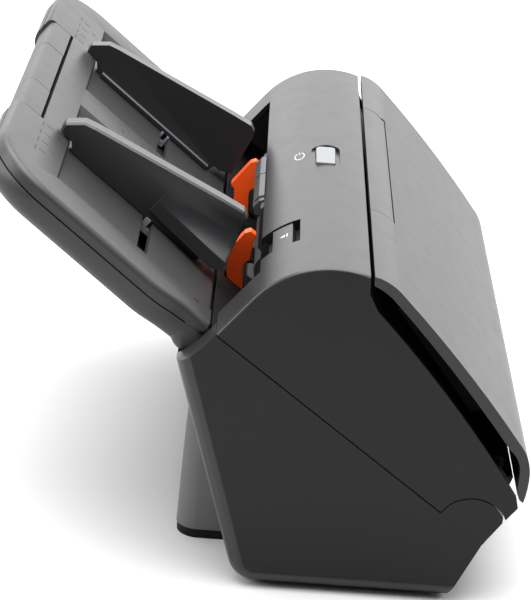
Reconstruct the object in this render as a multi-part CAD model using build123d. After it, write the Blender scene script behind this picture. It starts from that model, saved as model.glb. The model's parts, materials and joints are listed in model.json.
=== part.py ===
from build123d import *
import os
from math import acos, atan2, cos, degrees, hypot, radians, sin

# A compact upright sheet fed document scanner with its feed tray open.
# Row frame: +X along the width, -Y is the front (output side), +Z is up,
# Z = 0 is the table. All sizes in millimetres.

os.makedirs("parts", exist_ok=True)

# ---------------------------------------------------------------- driving dimensions
WIDTH = 300.0            # body width along X
HALF = WIDTH / 2
WALL = 2.5               # moulded cover thickness
SIDE_COVER = 14.0        # width of each base side cover
INNER = HALF - SIDE_COVER - 0.1   # half width of the parts between the side covers
GAP = 0.6                # seam between the base and the front unit
FEET = 1.5               # height of the base over the table

HINGE = (-94.0, 36.0)    # front unit hinge axis (Y, Z)
CAP_R = 15.4             # round hinge cap
SEAM_END = (21.2, 118.4)     # rear end of the seam between base and front unit
SEAM_ANGLE = 36.4        # slope of the seam, degrees
UNIT_OPEN = 45.0         # front unit opening angle

TRAY_AXIS = (32.5, 110.5)    # feed tray hinge axis (Y, Z)
TRAY_ORIGIN = (31.0, 112.0)  # origin of the tray's own frame (Y, Z)
TRAY_ANGLE = 38.9        # slope of the open tray, degrees
TRAY_LENGTH = 115.0      # from the tray origin to its outer end
TRAY_HALF = 141.0        # half width of the tray
TRAY_NECK = 135.4        # half width at its hinge end
TRAY_RIM = 8.2           # height of the rim over the tray origin
TRAY_FLOOR = 4.7         # height of the two recessed floors
TRAY_SEAM = 2.3          # height of the seam between its two shells
TRAY_BOTTOM = -9.8
BARREL_R = 8.0           # rounded hinge end of the tray

TOP_ARC = (-27.0, 108.1, 43.8)   # top cover arc: centre Y, Z and radius
MOUTH_HALF = 125.5       # half width of the feed mouth
MOUTH_EDGE = 4.3         # rear edge (Y) of the top cover over the mouth

ROLLER_R = 9.0           # driven tyres
SHAFT_R = 3.0
BASE_GUIDE = -7.2        # paper surface of the base, measured from the seam plane
UNIT_GUIDE = -5.6        # paper surface of the front unit
PLATE_X = 120.0          # inner face of the roller bearing plates
FRAME_X = 126.0          # inner face of the front unit's side frames

# ---------------------------------------------------------------- helpers
pieces = {}


def keep(name, shape):
    """Store one node; a list becomes a group of separate solids."""
    items = shape if isinstance(shape, list) else [shape]
    pieces[name] = [solid for item in items for solid in item.solids()]


def prism(face, x0, x1):
    """Extrude a (Y, Z) sketch from x0 to x1."""
    return extrude(Plane.YZ.offset(x0) * face, amount=x1 - x0)


def area(*points):
    """Closed straight-sided outline."""
    return make_face(Polyline(*points, close=True))


def rod(axis, radius, x0, x1):
    """Round bar along X about the (Y, Z) axis."""
    return prism(Pos(axis[0], axis[1]) * Circle(radius), x0, x1)


def box(x0, x1, y0, y1, z0, z1):
    centre = Pos((x0 + x1) / 2, (y0 + y1) / 2, (z0 + z1) / 2)
    return centre * Box(x1 - x0, y1 - y0, z1 - z0)


def upright(x, y, radius, z0, z1):
    """Round post along Z."""
    return Pos(x, y, (z0 + z1) / 2) * Cylinder(radius, z1 - z0)


def mirrored(shape):
    return mirror(shape, about=Plane.YZ)


def polar(centre, radius, angle):
    return (centre[0] + radius * cos(radians(angle)), centre[1] + radius * sin(radians(angle)))


def slope_frame(origin, angle, x=0.0):
    """Plane whose local x is world X, local y runs up the slope, local z is its normal."""
    a = radians(angle)
    return Plane(origin=(x, origin[0], origin[1]), x_dir=(1, 0, 0), z_dir=(0, -sin(a), cos(a)))


def on_seam(along, up):
    """Point (Y, Z) at a distance along the seam and above it."""
    a = radians(SEAM_ANGLE)
    return (SEAM_START[0] + along * cos(a) - up * sin(a), SEAM_START[1] + along * sin(a) + up * cos(a))


def seam_block(x0, x1, a0, a1, h0, h1):
    """Box aligned with the seam: a along it, h above it."""
    return slope_frame(SEAM_START, SEAM_ANGLE) * box(x0, x1, a0, a1, h0, h1)


# the seam meets the hinge cap circle at SEAM_START
seam = radians(SEAM_ANGLE)
to_end = (SEAM_END[0] - HINGE[0], SEAM_END[1] - HINGE[1])
end_along = to_end[0] * cos(seam) + to_end[1] * sin(seam)
end_above = -to_end[0] * sin(seam) + to_end[1] * cos(seam)
SEAM_LENGTH = end_along - (CAP_R ** 2 - end_above ** 2) ** 0.5
SEAM_START = (SEAM_END[0] - SEAM_LENGTH * cos(seam), SEAM_END[1] - SEAM_LENGTH * sin(seam))

# roller stations along the seam
FEED_AT = 100.0
DRIVE_AT = 72.0
EJECT_AT = 14.0
ROLLER_H = BASE_GUIDE + 0.6 - ROLLER_R
FEED_AXIS = on_seam(FEED_AT, ROLLER_H)
DRIVE_AXIS = on_seam(DRIVE_AT, ROLLER_H)
EJECT_AXIS = on_seam(EJECT_AT, ROLLER_H)
MOTOR_AXIS = (-32.0, 29.0)
TURN = (-87.9, 58.0)     # centre of the paper turn at the bottom of the front unit
TURN_R = 22.5

# ---------------------------------------------------------------- base outlines
FRONT_FOOT = (-86.5, FEET)
CHIN = (-99.4, 29.4)         # lower front corner
LIP = (36.8, 102.7)          # rear top edge between the side covers
REAR_LOW = (9.4, 11.5)
REAR_FOOT = (-3.5, FEET)


def rear_and_bottom(top):
    """Rear line, round rear foot and bottom, from the rear top edge to the chin."""
    return [Line(top, REAR_LOW),
            ThreePointArc(REAR_LOW, (5.3, 4.6), REAR_FOOT),
            Line(REAR_FOOT, FRONT_FOOT),
            Line(FRONT_FOOT, CHIN)]


side_lip = (37.0, 103.4)
side_outline = make_face(Curve() + rear_and_bottom(side_lip) + [
    Line(CHIN, SEAM_START),
    Line(SEAM_START, SEAM_END),
    ThreePointArc(SEAM_END, (28.7, 110.1), side_lip)])

cradle_r = BARREL_R + 0.9
cradle_in = polar(TRAY_AXIS, cradle_r, 185)
GUIDE_START = 4.0
GUIDE_STOP = SEAM_LENGTH - 2.9
guide_low = on_seam(GUIDE_START, BASE_GUIDE)
guide_top = on_seam(GUIDE_STOP, BASE_GUIDE)
middle_outline = make_face(Curve() + rear_and_bottom(LIP) + [
    Line(CHIN, (-88.0, 30.4)),
    Line((-88.0, 30.4), (-74.0, 33.2)),
    Line((-74.0, 33.2), guide_low),
    Line(guide_low, guide_top),
    Line(guide_top, cradle_in),
    ThreePointArc(cradle_in, polar(TRAY_AXIS, cradle_r, 245), LIP)])
middle_inside = offset(middle_outline, amount=-WALL)
middle_ring = middle_outline - middle_inside


def ring_part(x_half, y0, y1, z0, z1):
    """Part of the wall between the side covers, cut out of the ring by a window."""
    window = Pos((y0 + y1) / 2, (z0 + z1) / 2) * Rectangle(y1 - y0, z1 - z0)
    return prism(middle_ring & window, -x_half, x_half)


# ---------------------------------------------------------------- base covers
HINGE_PIN_R = 3.5
outer = prism(side_outline, -HALF, -HALF + SIDE_COVER)
rear_edges = [e for e in outer.edges().filter_by_position(Axis.X, -HALF - 0.1, -HALF + 0.1)
              if e.center().Y > -2 and e.center().Z < 90]
outer = fillet(rear_edges, 9.0)
hollow = prism(offset(side_outline, amount=-3.0), -HALF + 3.0, -HALF + SIDE_COVER + 1)
side_cover = outer - hollow - rod(HINGE, HINGE_PIN_R + 0.4, -HALF + WALL - 0.2, -HALF + SIDE_COVER + 1)
keep("base_left_side_cover", side_cover)
keep("base_right_side_cover", mirrored(side_cover))

SPLIT_REAR = -4.0        # where the bottom plate meets the rear cover
SPLIT_FRONT = -84.0      # where the bottom plate meets the lower front cover
front_window = area((-120, 0), (SPLIT_FRONT, 0), (SPLIT_FRONT, 20), (-70, 20), (-70, 38.0), (-120, 38.0))
keep("base_lower_front_cover", prism(middle_ring & front_window, -INNER, INNER))

# rear cover with two hinge lugs for the tray, and openings for the connectors
LUG_X = (101.0, 107.0)
SPLIT_GUIDE = 18.0       # where the paper guide meets the rear cover
STOP_X = 51.0            # each document stop stands this far from the middle
LUG_R = 5.6
rear_cover = ring_part(INNER, SPLIT_REAR, 60, 0, 118)
rear_cover -= box(-HALF, HALF, SPLIT_REAR - 1, SPLIT_GUIDE, 70, 140)
for s in (-1, 1):
    rear_cover -= box(s * STOP_X - 3.4, s * STOP_X + 3.4, SPLIT_GUIDE - 1, SPLIT_GUIDE + 2.2, 96, 120)
PIN_R = 3.0
for s in (-1, 1):
    lo, hi = sorted((s * LUG_X[0], s * LUG_X[1]))
    lug = rod(TRAY_AXIS, LUG_R, lo, hi)
    lug += prism(area((28.4, 107.0), (36.8, 107.0), (35.5, 99.0), (28.0, 99.0)), lo, hi)
    rear_cover += lug - rod(TRAY_AXIS, PIN_R, lo - 1, hi + 1)

# rear wall frame for the connectors: local z points out of the rear wall
REAR_TILT = degrees(atan2(LIP[0] - REAR_LOW[0], LIP[1] - REAR_LOW[1]))


def rear_frame(x, z):
    y = REAR_LOW[0] + (z - REAR_LOW[1]) * (LIP[0] - REAR_LOW[0]) / (LIP[1] - REAR_LOW[1])
    a = radians(REAR_TILT)
    return Plane(origin=(x, y, z), x_dir=(-1, 0, 0), z_dir=(0, cos(a), -sin(a)))


POWER_AT = (120.0, 38.0)
USB_AT = (120.0, 60.0)
LOCK_AT = (-122.0, 40.0)
SOCKET_DEPTH = 14.0
for (sx, sz), (w, h) in ((POWER_AT, (12.0, 14.0)), (USB_AT, (13.0, 12.0)), (LOCK_AT, (7.0, 3.0))):
    rear_cover -= rear_frame(sx, sz) * Box(w + 0.2, h + 0.2, 20)
keep("base_rear_cover", rear_cover)

bottom = ring_part(INNER, SPLIT_FRONT, SPLIT_REAR, 0, FEET + WALL)
SCREWS = [(-100.0, -70.0), (-100.0, -20.0), (60.0, -70.0), (60.0, -20.0)]
BOARD_Z = 10.0
for sx, sy in SCREWS:
    bottom += upright(sx, sy, 3.6, FEET + WALL, BOARD_Z)
    bottom -= upright(sx, sy, 3.6, FEET - 1, FEET + 1.4)
    bottom -= upright(sx, sy, 1.55, FEET, BOARD_Z + 1)
keep("base_bottom_plate", bottom)

keep("base_screws", [upright(x, y, 3.4, FEET + 0.2, FEET + 1.4) + upright(x, y, 1.5, FEET + 1.4, BOARD_Z)
                     for x, y in SCREWS])

# paper guide of the base: slots for the tyres, a window for the sensor glass, pivots for the stops
TYRES = [(-92.0, 16.0), (-34.0, 16.0), (34.0, 16.0), (92.0, 16.0)]      # centre X, width
FEED_TYRES = [(-21.0, 20.0), (21.0, 20.0)]
SENSOR_AT = 47.0
GLASS = (110.0, 7.0)     # half length and half width of a sensor glass
STOP_HALF = 2.5          # half thickness of a document stop
STOP_AXIS = (13.5, 96.6)
STOP_PEG_R = 1.8
lower_guide = prism(middle_ring & area((-80, 38.0), (SPLIT_GUIDE, 38.0), (SPLIT_GUIDE, 130), (-80, 130)),
                    -INNER, INNER)
lower_guide &= seam_block(-HALF, HALF, 0.0, SEAM_LENGTH, BASE_GUIDE - WALL - 0.02, 0)
for s in (-1, 1):
    rail = sorted((s * (INNER - WALL), s * INNER))
    lower_guide += seam_block(*rail, 10.0, SEAM_LENGTH - 14.0, BASE_GUIDE - 0.5, -0.4)


def tyre_slots(station, tyres, h0, h1, half):
    """One cutter per tyre, a little wider than the tyre."""
    return [seam_block(x - w / 2 - 1, x + w / 2 + 1, station - half, station + half, h0, h1) for x, w in tyres]


guide_cut = (BASE_GUIDE - 6, BASE_GUIDE + 2)
for station, tyres in ((FEED_AT, FEED_TYRES), (DRIVE_AT, TYRES), (EJECT_AT, TYRES)):
    for cutter in tyre_slots(station, tyres, *guide_cut, 7.6):
        lower_guide -= cutter
lower_guide -= seam_block(-GLASS[0] - 0.2, GLASS[0] + 0.2, SENSOR_AT - GLASS[1] - 0.2,
                          SENSOR_AT + GLASS[1] + 0.2, *guide_cut)
for s in (-1, 1):
    lower_guide -= seam_block(s * STOP_X - 3.2, s * STOP_X + 3.2, 104.0, SEAM_LENGTH - 6.0, *guide_cut)
    for lo in (STOP_X - 5.4, STOP_X + 3.4):
        lug = area((9.5, 99.6), (17.8, 104.8), (16.6, 95.6), (13.5, 93.8), (10.4, 95.6))
        lower_guide += prism(lug, *sorted((s * lo, s * (lo + 2.0))))
    lower_guide += rod(STOP_AXIS, STOP_PEG_R, *sorted((s * (STOP_X - 5.0), s * (STOP_X + 5.0))))
keep("base_paper_guide", lower_guide)
keep("lower_sensor_glass", seam_block(-GLASS[0], GLASS[0], SENSOR_AT - GLASS[1], SENSOR_AT + GLASS[1],
                                      BASE_GUIDE - 2.5, BASE_GUIDE - 0.2))
keep("lower_image_sensor", seam_block(-114, 114, SENSOR_AT - 8.0, SENSOR_AT + 8.0,
                                      BASE_GUIDE - 16.0, BASE_GUIDE - 2.55))

# round hinge caps with the front unit's hinge pins
cap_top = polar(HINGE, CAP_R, 151)
cap_low = (-107.4, 41.0)
cap_face = make_face(Curve() + [
    ThreePointArc(SEAM_START, polar(HINGE, CAP_R, 90), cap_top),
    Line(cap_top, cap_low), Line(cap_low, CHIN), Line(CHIN, SEAM_START)])
cap_face = offset(cap_face, amount=-0.05, kind=Kind.INTERSECTION)
cap = prism(cap_face, -HALF, -HALF + SIDE_COVER)
cap -= prism(offset(cap_face, amount=-2.2), -HALF + WALL, -HALF + SIDE_COVER + 1)
cap += rod(HINGE, HINGE_PIN_R, -HALF + WALL, -FRAME_X)
keep("left_hinge_cap", cap)
keep("right_hinge_cap", mirrored(cap))

# ---------------------------------------------------------------- rear stand and feet
SOLE = 4.5
STAND_HALF = 105.5
STAND_CORNER = 10.0


def rear_line(z, outward=0.0):
    """Y of the rear cover's outside at a height."""
    a = radians(REAR_TILT)
    y = REAR_LOW[0] + (z - REAR_LOW[1]) * (LIP[0] - REAR_LOW[0]) / (LIP[1] - REAR_LOW[1])
    return y + outward / cos(a)


STAND_REAR = 34.0


def stand_plan(z0, z1, inset=0.0):
    """Plan of the stand, with large round corners at the rear."""
    half = STAND_HALF - inset
    rear = STAND_REAR - inset
    plan = area((-half, -6.0), (half, -6.0), (half, rear), (-half, rear))
    plan = fillet(plan.vertices().filter_by_position(Axis.Y, rear - 1, rear + 1), STAND_CORNER)
    return extrude(Pos(0, 0, z0) * plan, amount=z1 - z0)


stand_side = area((rear_line(80), 80.0), (32.0, 55.0), (33.9, SOLE), (6.6, SOLE), (9.9, 11.0),
                  (rear_line(14), 14.0))
stand = prism(stand_side, -STAND_HALF, STAND_HALF) & stand_plan(0, 90)
stand -= prism(area((9.5, 10.0), (31.0, 10.0), (29.8, 55.0), (rear_line(60, 2.6), 60.0)), -92, 92)
keep("rear_stand", stand)
sole = prism(area((3.0, 0.0), (STAND_REAR, 0.0), (STAND_REAR, SOLE), (6.4, SOLE)), -STAND_HALF, STAND_HALF)
keep("stand_sole", sole & stand_plan(-1, SOLE, 0.5))
keep("rubber_feet", [upright(s * 118.0, -76.0, 7.0, 0, FEET) for s in (-1, 1)])

# ---------------------------------------------------------------- base internals
BELT_X = (128.0, 132.0)
PULLEY_R = 4.0
MOTOR_PULLEY_R = 4.0
plate_face = area((-70.0, FEET + WALL), (-16.0, FEET + WALL), (-6.0, 70.0), (22.0, 84.0), (21.0, 92.0),
                  on_seam(112.0, BASE_GUIDE - WALL - 0.2), on_seam(6.0, BASE_GUIDE - WALL - 0.2))
for axis in (FEED_AXIS, DRIVE_AXIS, EJECT_AXIS):
    plate_face -= Pos(*axis) * Circle(SHAFT_R + 0.06)
plate_face -= Pos(*MOTOR_AXIS) * Circle(4.5)
bearing_plate = prism(plate_face, PLATE_X, PLATE_X + 2.5)
keep("right_bearing_plate", bearing_plate)
keep("left_bearing_plate", mirrored(bearing_plate))

for name, axis, tyres in (("feed", FEED_AXIS, FEED_TYRES), ("drive", DRIVE_AXIS, TYRES),
                          ("eject", EJECT_AXIS, TYRES)):
    shaft = rod(axis, SHAFT_R, -PLATE_X - 4.0, BELT_X[1] + 1.0)
    shaft += rod(axis, PULLEY_R, BELT_X[0], BELT_X[1])
    shaft += rod(axis, PULLEY_R + 1.4, BELT_X[0] - 1.0, BELT_X[0] - 0.2)
    keep(f"{name}_roller_shaft", shaft)
    keep(f"{name}_roller_tyres", [rod(axis, ROLLER_R, x - w / 2, x + w / 2) - rod(axis, SHAFT_R, x - w, x + w)
                                  for x, w in tyres])

motor = rod(MOTOR_AXIS, 15.0, 84.0, PLATE_X)
motor += rod(MOTOR_AXIS, 4.3, PLATE_X, PLATE_X + 2.5)
motor -= rod(MOTOR_AXIS, 1.6, PLATE_X - 10, PLATE_X + 3)
keep("drive_motor", motor)
keep("motor_pulley", rod(MOTOR_AXIS, 1.5, PLATE_X - 9, BELT_X[0]) + rod(MOTOR_AXIS, MOTOR_PULLEY_R, *BELT_X))


def belt_loop(extra):
    """Taut loop round the three roller pulleys and the motor pulley."""
    rings = Sketch()
    for axis, radius in ((FEED_AXIS, PULLEY_R), (EJECT_AXIS, PULLEY_R), (MOTOR_AXIS, MOTOR_PULLEY_R)):
        rings += Pos(*axis) * Circle(radius + extra)
    return make_hull(rings.edges())


keep("drive_belt", prism(belt_loop(1.5) - belt_loop(0.35), BELT_X[0] + 0.2, BELT_X[1] - 0.2))

board = box(-112, 72, -78, -12, BOARD_Z, BOARD_Z + 1.6)
board += box(-60, -20, -60, -30, BOARD_Z + 1.6, BOARD_Z + 5)
board += box(10, 34, -66, -42, BOARD_Z + 1.6, BOARD_Z + 4)
keep("main_circuit_board", board)

socket = Pos(0, 0, -SOCKET_DEPTH / 2 - 0.6)
power = rear_frame(*POWER_AT) * (socket * Box(12.0, 14.0, SOCKET_DEPTH))
power -= rear_frame(*POWER_AT) * (Pos(0, 1, -6) * Cylinder(3.2, 12))
power += rear_frame(*POWER_AT) * (Pos(0, 1, -7) * Cylinder(0.9, 11))
keep("power_inlet", power)
usb = rear_frame(*USB_AT) * (socket * Box(13.0, 12.0, SOCKET_DEPTH))
usb -= rear_frame(*USB_AT) * (Pos(0, 0, -5.6) * Box(8.4, 7.6, 10))
usb += rear_frame(*USB_AT) * (Pos(0, 0, -6.6) * Box(5.6, 3.2, 9))
keep("usb_socket", usb)
pins = [rod(TRAY_AXIS, PIN_R, *sorted((s * 96.0, s * 112.0))) for s in (-1, 1)]
keep("tray_hinge_pins", pins)

# ---------------------------------------------------------------- document stops
stop_face = area((9.6, 130.7), (12.2, 129.6), (20.9, 118.2), (20.6, 116.6), (19.3, 115.8), (19.1, 108.5),
                 (18.2, 104.0), (15.4, 97.0), (10.6, 97.0), (11.6, 103.0), (11.9, 112.0), (11.5, 114.9),
                 (9.0, 116.6), (8.0, 124.7), (6.8, 128.8))
stop_face = fillet(stop_face.vertices(), 0.6)
stop_face += Pos(*STOP_AXIS) * Circle(3.4)
stop_face -= Pos(*STOP_AXIS) * Circle(STOP_PEG_R + 0.06)
for side, s in (("left", -1), ("right", 1)):
    keep(f"{side}_document_stop", prism(stop_face, s * STOP_X - STOP_HALF, s * STOP_X + STOP_HALF))

# ---------------------------------------------------------------- front unit outline
arc_c = TOP_ARC[:2]
ARC_R = TOP_ARC[2]
seam_rear = on_seam(SEAM_LENGTH, GAP)
to_rear = (seam_rear[0] - arc_c[0], seam_rear[1] - arc_c[1])
tangent_angle = degrees(atan2(to_rear[1], to_rear[0])) + degrees(acos(ARC_R / hypot(*to_rear)))
FRONT_ANGLE = 109.0      # where the top arc ends at the front
arc_start = polar(arc_c, ARC_R, tangent_angle)
arc_end = polar(arc_c, ARC_R, FRONT_ANGLE)
arc_mid = polar(arc_c, ARC_R, (tangent_angle + FRONT_ANGLE) / 2)
BROW = (-41.6, 141.5)
FRONT_ARC = (378.5, -283.4)      # centre of the long arc of the unit's front edge
FRONT_ARC_R = 595.1
SHOULDER = polar(FRONT_ARC, FRONT_ARC_R, 135.44)
NOSE = polar(FRONT_ARC, FRONT_ARC_R, 145.51)
NOSE_LOW = (-113.2, 48.6)
cut_r = CAP_R + 0.5
nose_tip = polar(HINGE, cut_r, 156)
cut_top = polar(HINGE, cut_r, 95)
seam_front = on_seam(0.5, GAP)
unit_face = make_face(Curve() + [
    Line(seam_rear, arc_start),
    ThreePointArc(arc_start, arc_mid, arc_end),
    Line(arc_end, BROW), Line(BROW, SHOULDER),
    ThreePointArc(SHOULDER, polar(FRONT_ARC, FRONT_ARC_R, 140.5), NOSE),
    Line(NOSE, NOSE_LOW), Line(NOSE_LOW, nose_tip),
    ThreePointArc(nose_tip, cut_top, seam_front),
    Line(seam_front, seam_rear)])

# top cover: two side walls and the arched skin, with the feed mouth cut out of it
inner_start = polar(arc_c, ARC_R - WALL, tangent_angle)
inner_mid = polar(arc_c, ARC_R - WALL, (tangent_angle + FRONT_ANGLE) / 2)
inner_end = polar(arc_c, ARC_R - WALL, FRONT_ANGLE)
skin_low = (seam_rear[0] - WALL, seam_rear[1] - 1.1)
skin_face = make_face(Curve() + [
    Line(seam_rear, arc_start), ThreePointArc(arc_start, arc_mid, arc_end),
    Line(arc_end, inner_end), ThreePointArc(inner_end, inner_mid, inner_start),
    Line(inner_start, skin_low), Line(skin_low, seam_rear)])
cover_blank = prism(unit_face, -HALF, HALF)
round_edges = [e for e in cover_blank.edges() if abs(abs(e.center().X) - HALF) < 0.1
               and e.center().Z > 118.5 + 6 and e.center().Y > -41.0]
cover_blank = fillet(round_edges, 1.6)
cover_inside = prism(unit_face, -HALF + WALL, HALF - WALL) - prism(skin_face, -HALF, HALF)
top_cover = cover_blank - cover_inside
top_cover -= box(-MOUTH_HALF, MOUTH_HALF, MOUTH_EDGE, 60, 90, 160)

BUTTON_X = (-12.5, 12.0)
BUTTON_Y = (-28.0, -18.4)
BUTTON_GAP = 0.25
button_mid = (BUTTON_Y[0] + BUTTON_Y[1]) / 2
SKIN_TOP = arc_c[1] + ARC_R      # highest point of the skin
# the finger scoop round the button deepens towards its arched end
SCOOP_R = 6.7
SCOOP_TILT = 4.2
scoop = box(-16.0, 10.0, button_mid - SCOOP_R, button_mid + SCOOP_R, SKIN_TOP - 5, SKIN_TOP + 5)
scoop += upright(10.0, button_mid, SCOOP_R, SKIN_TOP - 5, SKIN_TOP + 5)
scoop &= Pos(-14.0, button_mid, SKIN_TOP - 0.1) * (Rot(0, SCOOP_TILT, 0) * (Pos(0, 0, 5) * Box(90, 40, 10)))
top_cover -= scoop
hole = box(BUTTON_X[0], BUTTON_X[1] - 3, BUTTON_Y[0], BUTTON_Y[1], 140, 160)
hole += box(BUTTON_X[0], BUTTON_X[1], BUTTON_Y[0] + 3, BUTTON_Y[1] - 3, 140, 160)
hole += upright(BUTTON_X[1] - 3, BUTTON_Y[0] + 3, 3.0, 140, 160)
hole += upright(BUTTON_X[1] - 3, BUTTON_Y[1] - 3, 3.0, 140, 160)
top_cover -= hole

LEVER_SLOT_X = (-111.0, -84.0)
LEVER_SLOT_Y = -11.8
top_cover -= box(*LEVER_SLOT_X, LEVER_SLOT_Y, 10, 130, 160)
for x in (-20.0, 20.0):
    top_cover += upright(x, -23.0, 2.0, 141.6, SKIN_TOP - WALL + 0.2)


def arc_band(outer_r, inner_r, a0, a1):
    """Strip between two radii of the top cover's arc."""
    mid = (a0 + a1) / 2
    return make_face(Curve() + [
        ThreePointArc(polar(arc_c, outer_r, a0), polar(arc_c, outer_r, mid), polar(arc_c, outer_r, a1)),
        Line(polar(arc_c, outer_r, a1), polar(arc_c, inner_r, a1)),
        ThreePointArc(polar(arc_c, inner_r, a1), polar(arc_c, inner_r, mid), polar(arc_c, inner_r, a0)),
        Line(polar(arc_c, inner_r, a0), polar(arc_c, outer_r, a0))])


pocket_x = (LEVER_SLOT_X[0] - 1.6, LEVER_SLOT_X[1] + 1.6)
pocket = prism(arc_band(ARC_R - 1.0, ARC_R - 6.2, 44.4, 73.0), *pocket_x)
pocket -= prism(arc_band(ARC_R + 1.0, ARC_R - 4.6, 40.0, 70.6), *LEVER_SLOT_X)
pocket -= prism(arc_band(ARC_R, ARC_R - 9.0, 48.5, 64.5), LEVER_SLOT_X[0] + 5, LEVER_SLOT_X[1] - 5)
top_cover += pocket
for s in (-1, 1):
    top_cover += seam_block(*sorted((s * (FRAME_X + 2.6), s * (HALF - 1))), 4.0, SEAM_LENGTH - 4.0, GAP, GAP + 2)
keep("front_unit_top_cover", top_cover)

# start button: a shallow dome on a stem
button = box(BUTTON_X[0] + BUTTON_GAP, BUTTON_X[1] - 3, BUTTON_Y[0] + BUTTON_GAP, BUTTON_Y[1] - BUTTON_GAP,
             SKIN_TOP - 2.2, SKIN_TOP + 0.6)
button += box(BUTTON_X[1] - 3.5, BUTTON_X[1] - BUTTON_GAP, BUTTON_Y[0] + 3, BUTTON_Y[1] - 3,
              SKIN_TOP - 2.2, SKIN_TOP + 0.6)
for y in (BUTTON_Y[0] + 3, BUTTON_Y[1] - 3):
    button += upright(BUTTON_X[1] - 3, y, 3.0 - BUTTON_GAP, SKIN_TOP - 2.2, SKIN_TOP + 0.6)
button = fillet(button.edges().filter_by_position(Axis.Z, SKIN_TOP + 0.5, SKIN_TOP + 0.7), 0.5)
button += upright(0, button_mid, 2.0, 144.8, SKIN_TOP - 2.0)
keep("start_button", button)
control = box(-26, 26, -34, -12, 140.0, 141.6) + box(-3, 3, button_mid - 3, button_mid + 3, 141.6, 143.6)
keep("control_board", control)

# open lever in its pocket: a piece of the arched skin on a stem
LEVER_SLIDE = 3.5
lever = prism(arc_band(ARC_R - 0.5, ARC_R - 3.6, 51.8, 64.9), LEVER_SLOT_X[0] + 0.8, LEVER_SLOT_X[1] - 0.8)
lever += prism(arc_band(ARC_R - 3.0, ARC_R - 9.5, 57.4, 61.8), LEVER_SLOT_X[0] + 7, LEVER_SLOT_X[1] - 7)
keep("open_lever", lever)

# ---------------------------------------------------------------- front unit inside
# front wall behind the output slot; in the paper width it ends in the inner face of the turn
EXIT_INSET = 2.2         # how far the wall stands behind the edges of the side walls
EXIT_WALL = 2.0
wall_r = FRONT_ARC_R - EXIT_INSET
wall_back_r = wall_r - EXIT_WALL
WALL_ANGLES = (135.5, 140.0, 144.4)
exit_wall = make_face(Curve() + [
    Line((-39.2, 147.0), (-39.2, 142.2)),
    Line((-39.2, 142.2), polar(FRONT_ARC, wall_r, WALL_ANGLES[0])),
    ThreePointArc(*[polar(FRONT_ARC, wall_r, a) for a in WALL_ANGLES]),
    Line(polar(FRONT_ARC, wall_r, WALL_ANGLES[2]), polar(FRONT_ARC, wall_back_r, WALL_ANGLES[2])),
    ThreePointArc(*[polar(FRONT_ARC, wall_back_r, a) for a in reversed(WALL_ANGLES)]),
    Line(polar(FRONT_ARC, wall_back_r, WALL_ANGLES[0]), (-37.2, 142.2)),
    Line((-37.2, 142.2), (-37.2, 147.0)), Line((-37.2, 147.0), (-39.2, 147.0))])
nose_r = TURN_R - 2.5


def turn_band(outer_r, inner_r, a0, a1):
    """Strip around the centre of the paper turn."""
    mid = (a0 + a1) / 2
    return make_face(Curve() + [
        ThreePointArc(polar(TURN, outer_r, a0), polar(TURN, outer_r, mid), polar(TURN, outer_r, a1)),
        Line(polar(TURN, outer_r, a1), polar(TURN, inner_r, a1)),
        ThreePointArc(polar(TURN, inner_r, a1), polar(TURN, inner_r, mid), polar(TURN, inner_r, a0)),
        Line(polar(TURN, inner_r, a0), polar(TURN, outer_r, a0))])


front_clip = area((-120, 40), (-88, 40), (-88, 63), (-120, 63))
side_nose = (offset(unit_face, amount=-EXIT_INSET) - offset(unit_face, amount=-EXIT_INSET - EXIT_WALL)) & front_clip
exit_guide = prism(exit_wall, -HALF + WALL, HALF - WALL)
exit_guide += prism(turn_band(nose_r, nose_r - 2.0, 172.0, 300.0), -FRAME_X, FRAME_X)
exit_guide += box(-FRAME_X, FRAME_X, -107.6, -102.6, 59.6, 61.6)
for s in (-1, 1):
    exit_guide += prism(side_nose, *sorted((s * (FRAME_X + 2.7), s * (HALF - WALL))))
keep("exit_guide", exit_guide)
keep("turn_guide", prism(turn_band(TURN_R + 3.1, TURN_R + 1.1, 194.0, 300.0), -FRAME_X, FRAME_X))

UPPER_SENSOR_AT = 46.0
upper_guide = seam_block(-FRAME_X, FRAME_X, 2.0, 92.0, UNIT_GUIDE, UNIT_GUIDE + 2.0)
for station in (DRIVE_AT, EJECT_AT):
    for cutter in tyre_slots(station, TYRES, UNIT_GUIDE - 1, UNIT_GUIDE + 5, 5.2):
        upper_guide -= cutter
upper_guide -= seam_block(-GLASS[0] - 0.2, GLASS[0] + 0.2, UPPER_SENSOR_AT - GLASS[1] - 0.2,
                          UPPER_SENSOR_AT + GLASS[1] + 0.2, UNIT_GUIDE - 1, UNIT_GUIDE + 5)
keep("upper_paper_guide", upper_guide)
keep("upper_sensor_glass", seam_block(-GLASS[0], GLASS[0], UPPER_SENSOR_AT - GLASS[1],
                                      UPPER_SENSOR_AT + GLASS[1], UNIT_GUIDE + 0.2, UNIT_GUIDE + 2.5))
keep("upper_image_sensor", seam_block(-114, 114, UPPER_SENSOR_AT - 8, UPPER_SENSOR_AT + 8,
                                      UNIT_GUIDE + 2.55, UNIT_GUIDE + 16.0))

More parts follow.
